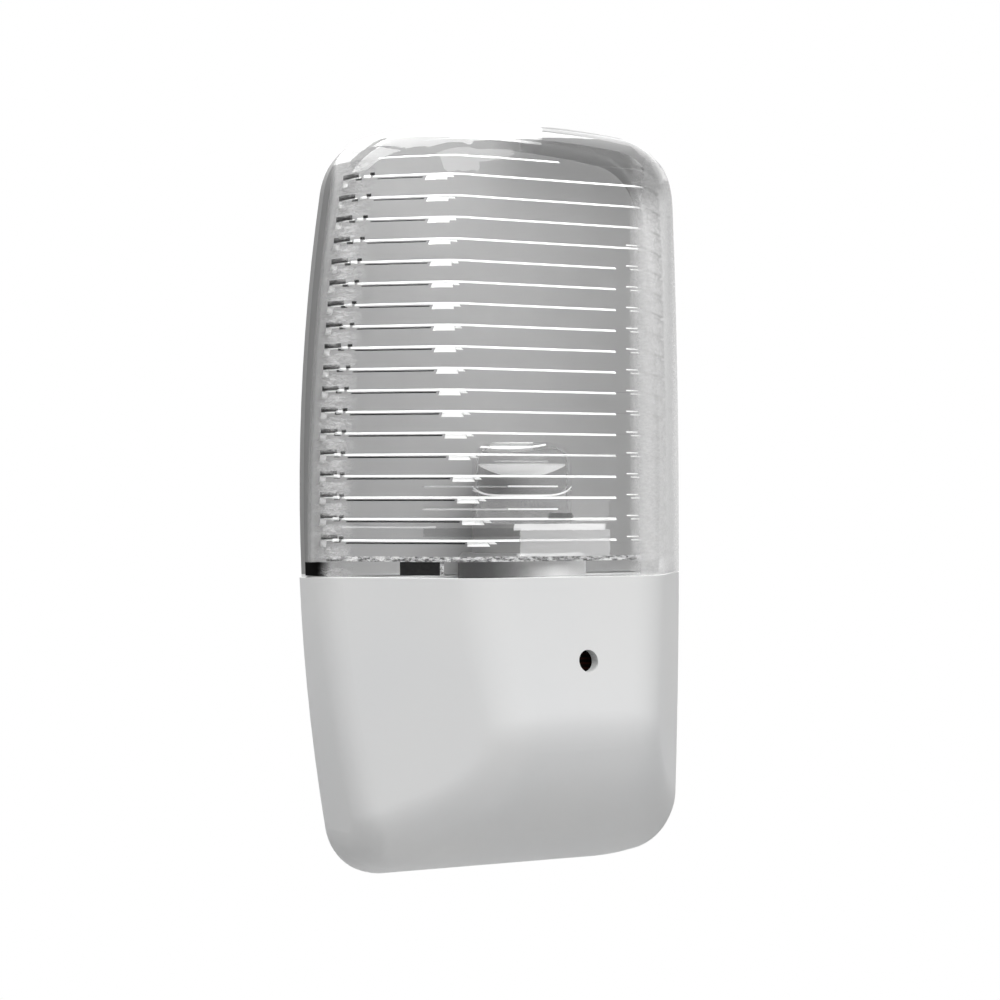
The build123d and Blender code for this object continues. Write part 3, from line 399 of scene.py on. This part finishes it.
highlight_lines, highlight_marks, shadow_lines, dark_marks = bmesh.new(), bmesh.new(), bmesh.new(), bmesh.new()
for level in range(top_level):
    left = line_left + line_left_drift * (level / (top_level - 1)) ** 2
    right = line_right_high if level > high_level else line_right
    down = ridge_level - level
    ridge = ridge_middle + (ridge_down * down + ridge_bow * down * down if down > 0 else ridge_up * down)
    begin, line_foot = begins[level], step_half - line_height
    mark_foot, tail_foot = line_foot - mark_height, line_foot - mark_height / 2
    rows = [
        # The line and its matt mark on the ridge with a shorter tail, painted highlights, and the painted
        # shadow below it.
        (highlight_lines, left, right, step_half, line_foot, line_lean, 0.0),
        (highlight_marks, ridge + mark_left, ridge + mark_right, line_foot, mark_foot, mark_lean, 0.0),
        (highlight_marks, ridge + mark_right, ridge + tail_right, line_foot, tail_foot, mark_lean, 0.0),
        (shadow_lines, left + 0.0006, ridge - 0.0019, step_half - 0.0004, step_half - 0.00054, line_lean, 0.0),
        # A painted dark mark and a painted glint where the line begins.
        (dark_marks, left - 0.0003, left + 0.0003, step_half + 0.0004, step_half + 0.00002, 0.0, 0.0),
        (highlight_lines, left - 0.0012, left - 0.0003, step_half + 0.0001, step_half - 0.0003, 0.0001, 0.0),
        # Two painted dark marks and two painted glints where the step enters the left wall.
        (dark_marks, begin, begin + 0.0023, step_half + 0.0006, step_half, 0.0, 0.0014),
        (dark_marks, begin + 0.0018, begin + 0.0026, step_half - 0.0001, step_half - 0.0004, 0.0, 0.0012),
        (highlight_lines, begin, begin + 0.0009, step_half - 0.0001, step_half - 0.001, 0.0002, 0.0018),
        (highlight_lines, begin + 0.0003, begin + 0.0024, step_half + 0.00003, step_half - 0.0002, 0.0002, 0.0012)]
    # A pair of short painted glints near the right wall, on all but the highest steps.
    if level < spark_levels:
        rows.append((highlight_lines, 0.0190, 0.0206, step_half + 0.00035, step_half + 0.00022, 0.0001, 0.0))
        rows.append((highlight_lines, 0.0196, 0.0214, step_half - 0.0001, step_half - 0.00024, 0.0001, 0.0))
    for strips, start, end, top, bottom, lean_in, back in rows:
        add_strip(strips, level, start, end, top, bottom, lean_in, back)
add_strip(highlight_lines, top_level, top_left, top_right, 0.0, -line_height, line_lean, 0.0)
for name, strips, material in (("lens_step_painted_highlights", highlight_lines, flank_highlight_paint), ("lens_ridge_painted_highlights", highlight_marks, flank_highlight_paint),
                               ("lens_step_painted_shadows", shadow_lines, shade), ("lens_step_painted_dark_marks", dark_marks, shade)):
    strip_piece(name, strips, material)

# ---- snap band of the lens ----
# Below the lowest step the skirt's top edge shows as a ragged light line, and a dark snap pad,
# painted shade, stands in the clear band over the seam, left of the pedestal, with a pale gap beside it.
edge_height, edge_rise, edge_drop, edge_lean = -0.0022, 0.0003, 0.00035, 0.0002
band_left, band_right, pad_left, pad_right, gap_width = -0.0205, 0.0215, -0.0107, -0.0055, 0.0005
pad_drop, pad_foot = 0.0004, edge_height - 0.0021

torn, tree, place = new_material("polystyrene_skirt_edge_rough")
drawn = node(tree, "ShaderNodeMapping", {0: place, "Scale": (0.35, 0.35, 1.0)})
chips = node(tree, "ShaderNodeTexNoise", {"Vector": drawn, "Scale": 3000.0, "Detail": 4.0, "Roughness": 0.8})
tone = node(tree, "ShaderNodeMapRange", {0: chips, 1: 0.4, 2: 0.6})
pale = node(tree, "ShaderNodeMix", {0: tone, 6: linear("#3A3A3A"), 7: linear("#D0D0D0")}, data_type="RGBA")
rough = node(tree, "ShaderNodeBsdfPrincipled", {"Base Color": pale.outputs[2], "Roughness": 0.5, "IOR": 1.49})
finish(torn, tree, rough)

edge, pad_shade = bmesh.new(), bmesh.new()
add_strip(edge, 0, band_left, band_right, edge_height + edge_rise, edge_height - edge_drop, edge_lean, 0.0)
add_strip(pad_shade, 0, pad_left, pad_right, edge_height - pad_drop, pad_foot, 0.0, 0.0)
add_strip(edge, 0, pad_right, pad_right + gap_width, edge_height - edge_rise, pad_foot, 0.0, 0.0)
strip_piece("lens_band_edge", edge, torn)
strip_piece("lens_snap_pad_painted_shade", pad_shade, shade)
for crest in crests:
    bpy.data.meshes.remove(crest)

# ---- reflector sheet and lamp deck ----
# A calendered polystyrene sheet on the back plate and the moulded shelf below it, both neutral
# grey and matt, so the lamp chamber looks even; the sheet has a faint mottle of about 8 mm.
grey, tree, place = new_material("polystyrene_sheet_grey_matt")
_, tint = uneven(tree, place, 120.0, 4.0, "#A4A4A4", "#ACACAC")
fine = node(tree, "ShaderNodeTexNoise", {"Vector": place, "Scale": 3000.0, "Detail": 2.0})
bump = node(tree, "ShaderNodeBump", {"Height": fine, "Strength": 0.15, "Distance": 0.00002})
sheet = node(tree, "ShaderNodeBsdfPrincipled", {"Base Color": tint, "Roughness": 0.6,
                                                "Specular IOR Level": 0.3, "Normal": bump})
finish(grey, tree, sheet, "reflector_panel", "lamp_deck")

# ---- pedestal under the lamp ----
# A moulded ring of pale ABS with painted shade: dark from the left, with the fade running out over
# its front. The flange at its top is painted grey for shade on the left and left white on the right.
shade_fade_begins, shade_fade_ends, flange_foot, unshaded_begins, unshaded_full = -0.003, 0.015, 0.0185, 0.0048, 0.0056
shade_raggedness = 0.0012
darkened, tree, place = new_material("abs_white_with_painted_shade_fade")
axes = node(tree, "ShaderNodeSeparateXYZ", {0: place}).outputs
broad = node(tree, "ShaderNodeVectorMath", {0: place, 1: across}, operation="DOT_PRODUCT").outputs["Value"]
grain = node(tree, "ShaderNodeTexNoise", {"Vector": place, "Scale": 900.0, "Detail": 4.0})
ragged = node(tree, "ShaderNodeMath", {0: grain, 1: shade_raggedness, 2: broad}, operation="MULTIPLY_ADD")
shade_fade = node(tree, "ShaderNodeMapRange", {0: ragged, 1: shade_fade_begins, 2: shade_fade_ends})
paint = node(tree, "ShaderNodeValToRGB", {0: shade_fade})
paint.color_ramp.elements[0].color = linear("#383838")
paint.color_ramp.elements[1].color = linear("#F2F2F2")
for stop, tone in ((0.26, "#606060"), (0.43, "#8C8C8C"), (0.57, "#C0C0C0"), (0.72, "#E2E2E2")):
    paint.color_ramp.elements.new(stop).color = linear(tone)
upper = node(tree, "ShaderNodeMath", {0: axes["Z"], 1: flange_foot}, operation="GREATER_THAN")
unshaded = node(tree, "ShaderNodeMapRange", {0: ragged, 1: unshaded_begins, 2: unshaded_full})
flange = node(tree, "ShaderNodeMix", {0: unshaded, 6: linear("#747474"), 7: linear("#F4F4F4")}, data_type="RGBA")
tone = node(tree, "ShaderNodeMix", {0: upper, 6: paint.outputs[0], 7: flange.outputs[2]}, data_type="RGBA")
bump = node(tree, "ShaderNodeBump", {"Height": grain, "Strength": 0.2, "Distance": 0.00003})
ring = node(tree, "ShaderNodeBsdfPrincipled", {"Base Color": tone.outputs[2], "Roughness": 0.4,
                                               "Normal": bump})
finish(darkened, tree, ring, "led_holder")

# ---- dome and optic over the LEDs ----
# The dome is a thin clear polycarbonate cap with a frosted foot. Two fine matt white rings and one
# bowed arc in its wall and a bright crescent on its shoulder are painted highlights. It too is given
# little bending. The button inside its top is opal and passes light down from above, so its
# underside is bright.
cap, tree, place = new_material("polycarbonate_cap_clear")
axes = node(tree, "ShaderNodeSeparateXYZ", {0: place}).outputs
broad = node(tree, "ShaderNodeVectorMath", {0: place, 1: across}, operation="DOT_PRODUCT").outputs["Value"]

# The painted highlight arc: its middle and one end along broad, its height, its bow and half its width.
arc_middle, arc_end, arc_height, arc_bow, arc_half = 0.0051, 0.0118, 0.0266, -0.0013, 0.00011
bowed = node(tree, "ShaderNodeMapRange", {0: broad, 1: arc_middle, 2: arc_end, 4: 1.0}, clamp=False)
bow = node(tree, "ShaderNodeMath", {0: bowed, 1: 6.0}, operation="POWER")
arc_line = node(tree, "ShaderNodeMath", {0: bow, 1: arc_bow, 2: axes["Z"]}, operation="MULTIPLY_ADD")
arc = node(tree, "ShaderNodeMath", {0: arc_line, 1: arc_height, 2: arc_half}, operation="COMPARE")

# The painted highlight rings: the height of each and half its width. They show over the middle of the front
# only.
low_height, low_half, high_height, high_half = 0.0248, 0.00012, 0.0278, 0.0001
front_middle, front_half = 0.0065, 0.0033
ring_low = node(tree, "ShaderNodeMath", {0: axes["Z"], 1: low_height, 2: low_half}, operation="COMPARE")
ring_high = node(tree, "ShaderNodeMath", {0: axes["Z"], 1: high_height, 2: high_half}, operation="COMPARE")
rings = node(tree, "ShaderNodeMath", {0: ring_low, 1: ring_high}, operation="MAXIMUM")
front = node(tree, "ShaderNodeMath", {0: broad, 1: front_middle, 2: front_half}, operation="COMPARE")
short_rings = node(tree, "ShaderNodeMath", {0: rings, 1: front}, operation="MULTIPLY")

# The painted highlight crescent, given as the arc is.
lip_middle, lip_end, lip_height, lip_sag, lip_half = 0.0033, 0.0082, 0.0328, -0.0005, 0.00012
shoulder = node(tree, "ShaderNodeMapRange", {0: broad, 1: lip_middle, 2: lip_end}, clamp=False)
dip = node(tree, "ShaderNodeMath", {0: shoulder, 1: 2.0}, operation="POWER")
lip_line = node(tree, "ShaderNodeMath", {0: dip, 1: lip_sag, 2: axes["Z"]}, operation="MULTIPLY_ADD")
crescent = node(tree, "ShaderNodeMath", {0: lip_line, 1: lip_height, 2: lip_half}, operation="COMPARE")
near = node(tree, "ShaderNodeMath", {0: dip, 1: 1.0}, operation="LESS_THAN")
lip = node(tree, "ShaderNodeMath", {0: crescent, 1: near}, operation="MULTIPLY")

arcs = node(tree, "ShaderNodeMath", {0: arc, 1: short_rings}, operation="MAXIMUM")
dome_highlight_mask = node(tree, "ShaderNodeMath", {0: arcs, 1: lip}, operation="MAXIMUM")
frost_ends, frost_full = 0.0275, 0.0225
foot = node(tree, "ShaderNodeMapRange", {0: axes["Z"], 1: frost_ends, 2: frost_full, 3: 0.0, 4: 0.5})
swirl = node(tree, "ShaderNodeTexNoise", {"Vector": place, "Scale": 400.0, "Detail": 2.0})
bump = node(tree, "ShaderNodeBump", {"Height": swirl, "Strength": 0.1, "Distance": 0.00005})
glass = node(tree, "ShaderNodeBsdfPrincipled", {"Base Color": linear("#FAFAFA"), "Roughness": 0.02,
                                                "IOR": 1.03, "Transmission Weight": 1.0, "Coat Weight": 0.5,
                                                "Coat IOR": 1.4, "Normal": bump})
frosting = node(tree, "ShaderNodeBsdfDiffuse", {"Color": linear("#A6A6A6"), "Roughness": 1.0})
dome_highlight_paint = node(tree, "ShaderNodeBsdfDiffuse", {"Color": linear("#FFFFFF"), "Roughness": 1.0})
frosted = node(tree, "ShaderNodeMixShader", {0: foot, 1: glass, 2: frosting})
highlighted = node(tree, "ShaderNodeMixShader", {0: dome_highlight_mask, 1: frosted, 2: dome_highlight_paint})
shadow = node(tree, "ShaderNodeLightPath").outputs["Is Shadow Ray"]
passing = node(tree, "ShaderNodeBsdfTransparent", {"Color": (0.9, 0.9, 0.9, 1.0)})
lit = node(tree, "ShaderNodeMixShader", {0: shadow, 1: highlighted, 2: passing})
finish(cap, tree, lit, "lamp_dome")

opal, tree, place = new_material("polycarbonate_optic_opal")
_, tint = uneven(tree, place, 5000.0, 2.0, "#F2F2F2", "#FFFFFF")
face = node(tree, "ShaderNodeBsdfPrincipled", {"Base Color": tint, "Roughness": 0.35})
through = node(tree, "ShaderNodeBsdfTranslucent", {"Color": tint})
opaline = node(tree, "ShaderNodeMixShader", {0: 0.75, 1: face, 2: through})
finish(opal, tree, opaline, "lamp_optic")

# ---- LED board, LEDs and their leads ----
# Fibreglass board under white solder mask, through which round copper lands show faintly, 1.7 mm
# apart; water-clear epoxy LEDs over a grey reflector cup at the foot; tinned leads.
board_middle = -0.0099
mask_white, tree, place = new_material("solder_mask_white_on_fibreglass")
centred = node(tree, "ShaderNodeMapping", {0: place, "Location": (0.0, -board_middle, 0.0)})
lands = node(tree, "ShaderNodeTexWave", {0: centred, "Scale": 180.0}, wave_type="RINGS", rings_direction="Z")
tint = node(tree, "ShaderNodeMix", {0: lands.outputs["Fac"], 6: linear("#D2D2CC"), 7: linear("#E2E2DE")},
            data_type="RGBA")
board = node(tree, "ShaderNodeBsdfPrincipled", {"Base Color": tint.outputs[2], "Roughness": 0.35})
finish(mask_white, tree, board, "led_board")

cup_full, cup_ends = 0.0222, 0.0226
epoxy, tree, place = new_material("epoxy_led_water_clear")
axes = node(tree, "ShaderNodeSeparateXYZ", {0: place}).outputs
cup = node(tree, "ShaderNodeMapRange", {0: axes["Z"], 1: cup_full, 2: cup_ends, 3: 1.0, 4: 0.0})
resin = node(tree, "ShaderNodeBsdfPrincipled", {"Base Color": linear("#F4F4F0"), "Roughness": 0.03,
                                                "IOR": 1.3, "Transmission Weight": 1.0, "Coat Weight": 1.0})
phosphor = node(tree, "ShaderNodeBsdfPrincipled", {"Base Color": linear("#9C9C98"), "Roughness": 0.5})
filled = node(tree, "ShaderNodeMixShader", {0: cup, 1: resin, 2: phosphor})
shadow = node(tree, "ShaderNodeLightPath").outputs["Is Shadow Ray"]
passing = node(tree, "ShaderNodeBsdfTransparent", {"Color": (0.8, 0.8, 0.8, 1.0)})
lit = node(tree, "ShaderNodeMixShader", {0: shadow, 1: filled, 2: passing})
finish(epoxy, tree, lit, "led_emitters")

tinned, tree, place = new_material("copper_wire_tinned")
drawn, tint = uneven(tree, place, 1500.0, 2.0, "#B8B8B4", "#D8D8D6")
dull = node(tree, "ShaderNodeMapRange", {0: drawn, 3: 0.22, 4: 0.4})
metal = node(tree, "ShaderNodeBsdfPrincipled", {"Base Color": tint, "Metallic": 1.0, "Roughness": dull})
finish(tinned, tree, metal, "led_leads", "component_leads", "photocell_leads")

# ---- wires to the lamp ----
# Stranded wire in extruded PVC, red for plus and black for minus, with the slight waxy shine and
# the fine wave of extrusion, about 1.4 mm long.
for name, dark_side, light_side in (("wire_positive", "#8E120E", "#B01A14"),
                                    ("wire_negative", "#0B0B0B", "#1A1A1A")):
    sleeve, tree, place = new_material("pvc_extruded_" + name)
    _, tint = uneven(tree, place, 700.0, 1.0, dark_side, light_side)
    pvc = node(tree, "ShaderNodeBsdfPrincipled", {"Base Color": tint, "Roughness": 0.38})
    finish(sleeve, tree, pvc, name)

# ---- plug blades ----
# Stamped from rolled brass strip: rolling lines run along the blade, drawn 0.2 mm apart so that
# they show, the colour is a little uneven from handling, and the surface is bright, not polished.
brass, tree, place = new_material("brass_strip_rolled")
long_lines = node(tree, "ShaderNodeMapping", {0: place, "Scale": (1.0, 0.03, 1.0)})
rolled = node(tree, "ShaderNodeTexNoise", {"Vector": long_lines, "Scale": 5000.0, "Detail": 3.0})
_, tint = uneven(tree, place, 250.0, 3.0, "#C2A35C", "#DCC384")
dull = node(tree, "ShaderNodeMapRange", {0: rolled, 3: 0.24, 4: 0.42})
bump = node(tree, "ShaderNodeBump", {"Height": rolled, "Strength": 0.2, "Distance": 0.00001})
metal = node(tree, "ShaderNodeBsdfPrincipled", {"Base Color": tint, "Metallic": 1.0, "Roughness": dull,
                                                "Normal": bump})
finish(brass, tree, metal, "blade_narrow", "blade_wide")

# ---- screws ----
# Steel screws, two through the back cover and two that hold the circuit board, plated with zinc
# in a barrel: cool grey with a soft bloom about 1 mm across.
zinc, tree, place = new_material("steel_zinc_plated")
bloom, tint = uneven(tree, place, 900.0, 4.0, "#9A9C9E", "#C6C8CA")
dull = node(tree, "ShaderNodeMapRange", {0: bloom, 3: 0.4, 4: 0.6})
metal = node(tree, "ShaderNodeBsdfPrincipled", {"Base Color": tint, "Metallic": 1.0, "Roughness": dull})
finish(zinc, tree, metal, "housing_screws", "board_screws")

# ---- blade carrier, insulating sheet and circuit board ----
# The carrier is black phenolic with pale filler specks; the sheet is grey-green fish paper with
# a fibrous face; the board is fibreglass under green mask, with its hatched copper, 1.27 mm
# apart, showing lighter.
phenolic, tree, place = new_material("phenolic_moulded_black")
filler = node(tree, "ShaderNodeTexVoronoi", {"Vector": place, "Scale": 2200.0})
speck = node(tree, "ShaderNodeMapRange", {0: filler, 1: 0.12, 2: 0.2, 3: 1.0, 4: 0.0})
tint = node(tree, "ShaderNodeMix", {0: speck, 6: linear("#101010"), 7: linear("#2C2A27")}, data_type="RGBA")
pressed = node(tree, "ShaderNodeBsdfPrincipled", {"Base Color": tint.outputs[2], "Roughness": 0.5})
finish(phenolic, tree, pressed, "blade_carrier")

paper, tree, place = new_material("fish_paper_grey_green")
fibres = node(tree, "ShaderNodeMapping", {0: place, "Scale": (1.0, 1.0, 0.2)})
felt, tint = uneven(tree, fibres, 2500.0, 5.0, "#5C6054", "#7A7C6E")
bump = node(tree, "ShaderNodeBump", {"Height": felt, "Strength": 0.3, "Distance": 0.00003})
pressed = node(tree, "ShaderNodeBsdfPrincipled", {"Base Color": tint, "Roughness": 0.75, "Normal": bump})
finish(paper, tree, pressed, "insulating_sheet")

hatch_pitch, hatch_line = 0.00127, 0.0003
green, tree, place = new_material("solder_mask_green_on_fibreglass")
upright = node(tree, "ShaderNodeMapping", {0: place, "Rotation": (math.pi / 2, 0.0, 0.0)})
hatch = node(tree, "ShaderNodeTexBrick", {"Vector": upright, "Scale": 1.0, "Mortar Size": hatch_line,
                                          "Brick Width": hatch_pitch, "Row Height": hatch_pitch}, offset=0.0)
tint = node(tree, "ShaderNodeMix", {0: hatch.outputs["Fac"], 6: linear("#12481F"), 7: linear("#2C7440")},
            data_type="RGBA")
mask = node(tree, "ShaderNodeBsdfPrincipled", {"Base Color": tint.outputs[2], "Roughness": 0.3})
finish(green, tree, mask, "circuit_board")

solder, tree, place = new_material("solder_tin_bright")
frozen = node(tree, "ShaderNodeTexNoise", {"Vector": place, "Scale": 2200.0, "Detail": 3.0})
dull = node(tree, "ShaderNodeMapRange", {0: frozen, 3: 0.15, 4: 0.35})
metal = node(tree, "ShaderNodeBsdfPrincipled", {"Base Color": linear("#C4C4C2"), "Metallic": 1.0,
                                                "Roughness": dull})
finish(solder, tree, metal, "solder_joints")

# ---- capacitors ----
# The film capacitor is dipped in dark red epoxy with a slight orange peel. The electrolytic has
# a black shrink sleeve with a grey minus stripe down one side and a bare aluminium end.
dip, tree, place = new_material("epoxy_dip_dark_red")
peel, tint = uneven(tree, place, 900.0, 1.0, "#7C140E", "#961E16")
bump = node(tree, "ShaderNodeBump", {"Height": peel, "Strength": 0.3, "Distance": 0.00005})
resin = node(tree, "ShaderNodeBsdfPrincipled", {"Base Color": tint, "Roughness": 0.2, "Normal": bump})
finish(dip, tree, resin, "film_capacitor")

stripe_side, can_end = 0.0131, -0.0186
can, tree, place = new_material("pvc_sleeve_over_aluminium")
axes = node(tree, "ShaderNodeSeparateXYZ", {0: place}).outputs
stripe = node(tree, "ShaderNodeMath", {0: axes["X"], 1: stripe_side}, operation="GREATER_THAN")
end = node(tree, "ShaderNodeMath", {0: axes["Y"], 1: can_end}, operation="LESS_THAN")
tint = node(tree, "ShaderNodeMix", {0: stripe, 6: linear("#0F0F12"), 7: linear("#A2A2A0")}, data_type="RGBA")
drawn = node(tree, "ShaderNodeTexNoise", {"Vector": place, "Scale": 2000.0, "Detail": 2.0})
dull = node(tree, "ShaderNodeMapRange", {0: drawn, 3: 0.25, 4: 0.4})
sleeve = node(tree, "ShaderNodeBsdfPrincipled", {"Base Color": tint.outputs[2], "Roughness": dull})
alloy = node(tree, "ShaderNodeBsdfPrincipled", {"Base Color": linear("#C8C8C8"), "Metallic": 1.0,
                                                "Roughness": dull})
wrapped = node(tree, "ShaderNodeMixShader", {0: end, 1: sleeve, 2: alloy})
finish(can, tree, wrapped, "smoothing_capacitor")

# ---- diodes, resistors and transistor ----
# Axial bodies stand upright, so their rings are bands at given heights: one silver cathode ring
# on a diode, four colour rings on a resistor and three on the fusible one. The ground between is
# moulded or lacquered. Each ring is given by its height, its width and its colour.
for name, material_name, ground, rings in (
        ("rectifier_diodes", "epoxy_moulded_black", "#0D0D0D", ((0.0070, 0.0008, "#B9B9B6"),)),
        ("resistors", "lacquer_tan_on_ceramic", "#B8935F",
         ((-0.0112, 0.0005, "#5A2E12"), (-0.0099, 0.0005, "#0B0B0B"), (-0.0086, 0.0005, "#B5581A"),
          (-0.0070, 0.0005, "#B8902A"))),
        ("fusible_resistor", "cement_coating_green", "#4A6B5B",
         ((0.0060, 0.0004, "#C8B31E"), (0.0070, 0.0004, "#5B2A86"), (0.0080, 0.0004, "#0B0B0B")))):
    coat, tree, place = new_material(material_name)
    axes = node(tree, "ShaderNodeSeparateXYZ", {0: place}).outputs
    grain = node(tree, "ShaderNodeTexNoise", {"Vector": place, "Scale": 3000.0, "Detail": 2.0})
    lighter = tuple(c * 1.25 for c in linear(ground)[:3]) + (1.0,)
    colour = node(tree, "ShaderNodeMix", {0: grain, 6: linear(ground), 7: lighter}, data_type="RGBA")
    for height, width, paint in rings:
        band = node(tree, "ShaderNodeMath", {0: axes["Z"], 1: height, 2: width / 2}, operation="COMPARE")
        colour = node(tree, "ShaderNodeMix", {0: band, 6: colour.outputs[2], 7: linear(paint)},
                      data_type="RGBA")
    body = node(tree, "ShaderNodeBsdfPrincipled", {"Base Color": colour.outputs[2], "Roughness": 0.4})
    finish(coat, tree, body, name)

pack, tree, place = new_material("epoxy_package_matt_black")
grain = node(tree, "ShaderNodeTexNoise", {"Vector": place, "Scale": 4000.0, "Detail": 2.0})
bump = node(tree, "ShaderNodeBump", {"Height": grain, "Strength": 0.3, "Distance": 0.00002})
body = node(tree, "ShaderNodeBsdfPrincipled", {"Base Color": linear("#0C0C0C"), "Roughness": 0.6,
                                               "Normal": bump})
finish(pack, tree, body, "transistor")

# ---- light sensor behind the hole ----
# A cadmium sulphide cell: a folded track, dark on red-brown under resin and drawn 0.6 mm apart so
# that it shows, inside a matt black rubber sleeve that keeps the lamp's own light off it.
cell, tree, place = new_material("photocell_track_under_resin")
folds = node(tree, "ShaderNodeTexWave", {0: place, "Scale": 500.0, "Distortion": 1.0}, bands_direction="Z")
track = node(tree, "ShaderNodeMath", {0: folds.outputs["Fac"], 1: 0.6}, operation="GREATER_THAN")
tint = node(tree, "ShaderNodeMix", {0: track, 6: linear("#0A0706"), 7: linear("#2A100A")}, data_type="RGBA")
face = node(tree, "ShaderNodeBsdfPrincipled", {"Base Color": tint.outputs[2], "Roughness": 0.5,
                                               "Specular IOR Level": 0.1})
finish(cell, tree, face, "photocell")

rubber, tree, place = new_material("rubber_sleeve_matt_black")
_, tint = uneven(tree, place, 1500.0, 3.0, "#060606", "#111111")
body = node(tree, "ShaderNodeBsdfPrincipled", {"Base Color": tint, "Roughness": 0.85,
                                               "Specular IOR Level": 0.2})
finish(rubber, tree, body, "photocell_shield")
